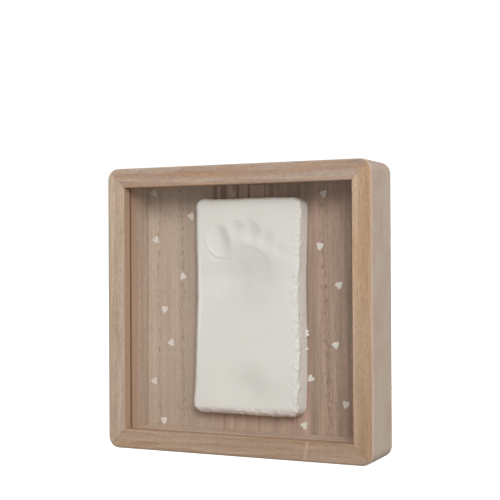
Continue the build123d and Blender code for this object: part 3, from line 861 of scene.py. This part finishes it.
def cross_head_screws(look):
    """Points and faces of the four screws, in millimetres.

    Each is a profile turned round the screw's axis: a cone for the point, the shank, the flat under the head, and a
    pan head whose top falls as an ellipse to the rim. A cross is sunk in the top: its depth grows from the end of each
    arm to the middle, and falls off across an arm as a steep logistic curve.
    """
    low, high = (corner.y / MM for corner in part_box("turn_button_screws"))
    shank, head = look.shank_radius / MM, look.head_radius / MM
    seat, rim = high - look.head_height / MM, high - 0.65 * look.head_height / MM
    falling = np.linspace(0, pi / 2, 41)[1:-1]
    across = np.concatenate([[0.3, shank, shank, head, head], head * np.cos(falling)])
    along = np.concatenate([[low + 0.4, low + 3, seat, seat, rim], rim + (high - rim) * np.sin(falling)])
    way = np.linspace(0, 2 * pi, 144, endpoint=False)
    u, v = across[:, None] * np.cos(way), across[:, None] * np.sin(way)
    arm = 0.6 * head
    wide, thin = np.maximum(np.abs(u), np.abs(v)), np.minimum(np.abs(u), np.abs(v))
    inside = drop(thin - look.recess_width / MM / 2, 0.03) * drop(wide - arm, 0.03)
    sunk = look.recess_depth / MM * inside * np.clip(1.25 - wide / arm, 0, 1) * (along > rim)[:, None]
    y = along[:, None] - sunk
    middle = high - look.recess_depth / MM
    count = u.size
    index = np.arange(count).reshape(u.shape)
    parts = bands(index), fan(index[0], count)[:, ::-1], fan(index[-1], count + 1)
    points, faces = [], []
    for number, joint in enumerate(frame["joints"]):
        turn = 0.4 + 1.1 * number   # each screw was stopped at a turn of its own
        x = np.concatenate([(cos(turn) * u - sin(turn) * v).ravel(), [0, 0]]) + joint["pos_m"][0] / MM
        z = np.concatenate([(sin(turn) * u + cos(turn) * v).ravel(), [0, 0]]) + joint["pos_m"][2] / MM
        points.append(np.stack([x, np.concatenate([y.ravel(), [low, middle]]), z], 1))
        faces += sum(((part + number * (count + 2)).tolist() for part in parts), [])
    return np.concatenate(points), faces


class FOOTPRINT_OT_screws(bpy.types.Operator):
    """Cross-head screws that hold the turn buttons, in place of the plain solids"""

    bl_idname = "footprint.screws"
    bl_label = "Make the screws"

    def execute(self, context):
        look = context.scene.footprint_frame.parts
        wire = zinc_steel("Zinc-plated steel wire, cold headed", look, (0.4, 5, 0.4))
        points, faces = cross_head_screws(look)
        screws = new_piece("cross_head_screws", points, faces, wire, "turn_button_screws")
        screws.data.set_sharp_from_angle(angle=radians(35))
        return {"FINISHED"}


class FOOTPRINT_OT_hardware(bpy.types.Operator):
    """Plated steel on the turn buttons, hanger and nails"""

    bl_idname = "footprint.hardware"
    bl_label = "Finish the hardware"

    def execute(self, context):
        look = context.scene.footprint_frame.parts
        strip = zinc_steel("Zinc-plated steel strip, pressed", look, (0.3, 0.3, 6))
        wire = zinc_steel("Zinc-plated steel wire, drawn", look, (0.4, 5, 0.4))
        dress([name for name in frame["nodes"] if name.endswith("_turn_button")], strip)
        dress(["sawtooth_hanger"], strip)
        dress(["hanger_nails", "corner_v_nails"], wire)
        return {"FINISHED"}


class FOOTPRINT_OT_stage(bpy.types.Operator):
    """Pale floor, soft light and the camera"""

    bl_idname = "footprint.stage"
    bl_label = "Set the stage"

    def execute(self, context):
        look = context.scene.footprint_frame.stage
        scene = context.scene
        scene.view_settings.view_transform = "Standard"

        # Matt paper sweep: pale, and lit to white where the camera looks at it
        made, tree, _ = blank_material("Matt paper sweep")
        seen = node(tree, "LightPath", (), "Is Camera Ray")
        glow = node(tree, "Math", (seen, 0.95), operation="MULTIPLY")
        shader = node(tree, "BsdfPrincipled", {
            "Base Color": look.floor, "Roughness": 0.9, "Specular IOR Level": 0.0,
            "Emission Color": linear("#ffffff"), "Emission Strength": glow,
        })
        node(tree, "OutputMaterial", (shader,), None)
        reach, level = 3.0, CAD_BOX[0].z - 0.1 * MM
        mesh = bpy.data.meshes.new("floor")
        corners = [(-reach, -reach, level), (reach, -reach, level), (reach, reach, level), (-reach, reach, level)]
        mesh.from_pydata(corners, [], [(0, 1, 2, 3)])
        mesh.materials.append(made)
        floor = bpy.data.objects.new("floor", mesh)
        scene.collection.objects.link(floor)

        world = bpy.data.worlds.new("Soft white studio")
        world.use_nodes = True
        world.node_tree.nodes.clear()
        tree = world.node_tree
        seen = node(tree, "LightPath", (), "Is Camera Ray")
        strength = node(tree, "MapRange", (seen, 0, 1, look.sky, 1.1))
        sky = node(tree, "Background", (linear("#ffffff"), strength))
        node(tree, "OutputWorld", (sky,), None)
        scene.world = world

        # Azimuth and elevation in degrees, distance and size in metres, and power
        aim = Vector((0, 0, FRAME_MIDDLE_Z))
        for name, azimuth, elevation, distance, size, power in (
            ("key", 29, 21.4, 2.4, (0.68, 0.84), look.key_power),
            ("fill", 62, 16, 2.0, (1.4, 1.4), look.fill_power),
        ):
            lamp = bpy.data.lights.new(name, "AREA")
            lamp.shape = "RECTANGLE"
            lamp.size, lamp.size_y = size
            lamp.energy = power
            a, e = radians(azimuth), radians(elevation)
            out = Vector((sin(a) * cos(e), -cos(a) * cos(e), sin(e)))
            light = bpy.data.objects.new(name, lamp)
            light.location = aim + distance * out
            light.rotation_euler = (-out).to_track_quat("-Z", "Y").to_euler()
            scene.collection.objects.link(light)

        # Camera to the right of the frame and a little above its middle, turned 25 degrees to it
        spot = Vector((287.09, -608.9, 114.68)) * MM
        yaw, pitch, roll = 0.4363, 0.0078, -0.0053
        turn = Matrix.Rotation(yaw, 4, "Z") @ Matrix.Rotation(pi / 2 + pitch, 4, "X") @ Matrix.Rotation(roll, 4, "Z")
        lens = bpy.data.cameras.new("camera")
        lens.sensor_width = 36.0
        lens.lens = look.focal_length
        lens.clip_start, lens.clip_end = 0.05, 20.0
        camera = bpy.data.objects.new("camera", lens)
        camera.matrix_world = Matrix.Translation(spot) @ turn
        scene.collection.objects.link(camera)
        scene.camera = camera
        return {"FINISHED"}


STEPS = (
    FOOTPRINT_OT_stage,
    FOOTPRINT_OT_rails,
    FOOTPRINT_OT_liners,
    FOOTPRINT_OT_board,
    FOOTPRINT_OT_hearts,
    FOOTPRINT_OT_clay,
    FOOTPRINT_OT_pane,
    FOOTPRINT_OT_pads,
    FOOTPRINT_OT_screws,
    FOOTPRINT_OT_hardware,
)


class FOOTPRINT_PT_panel(bpy.types.Panel):
    """Lists the steps and the settings of the frame"""

    bl_idname = "FOOTPRINT_PT_panel"
    bl_label = "Footprint frame"
    bl_space_type = "VIEW_3D"
    bl_region_type = "UI"
    bl_category = "Footprint frame"

    def draw(self, context):
        looks = context.scene.footprint_frame
        for step in STEPS:
            self.layout.operator(step.bl_idname)
        for group in (looks.wood, looks.clay, looks.parts, looks.stage):
            box = self.layout.box()
            for name in group.__annotations__:
                box.prop(group, name)


CLASSES = (WoodLook, ClayLook, PartLook, StageLook, FootprintFrameLook, *STEPS, FOOTPRINT_PT_panel)


def register():
    for kind in CLASSES:
        bpy.utils.register_class(kind)
    bpy.types.Scene.footprint_frame = bpy.props.PointerProperty(type=FootprintFrameLook)


def unregister():
    del bpy.types.Scene.footprint_frame
    for kind in reversed(CLASSES):
        bpy.utils.unregister_class(kind)


def main():
    """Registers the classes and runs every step."""
    register()
    bpy.ops.footprint.stage()
    bpy.ops.footprint.rails()
    bpy.ops.footprint.liners()
    bpy.ops.footprint.board()
    bpy.ops.footprint.hearts()
    bpy.ops.footprint.clay()
    bpy.ops.footprint.pane()
    bpy.ops.footprint.pads()
    bpy.ops.footprint.screws()
    bpy.ops.footprint.hardware()


if __name__ == "__main__":
    main()
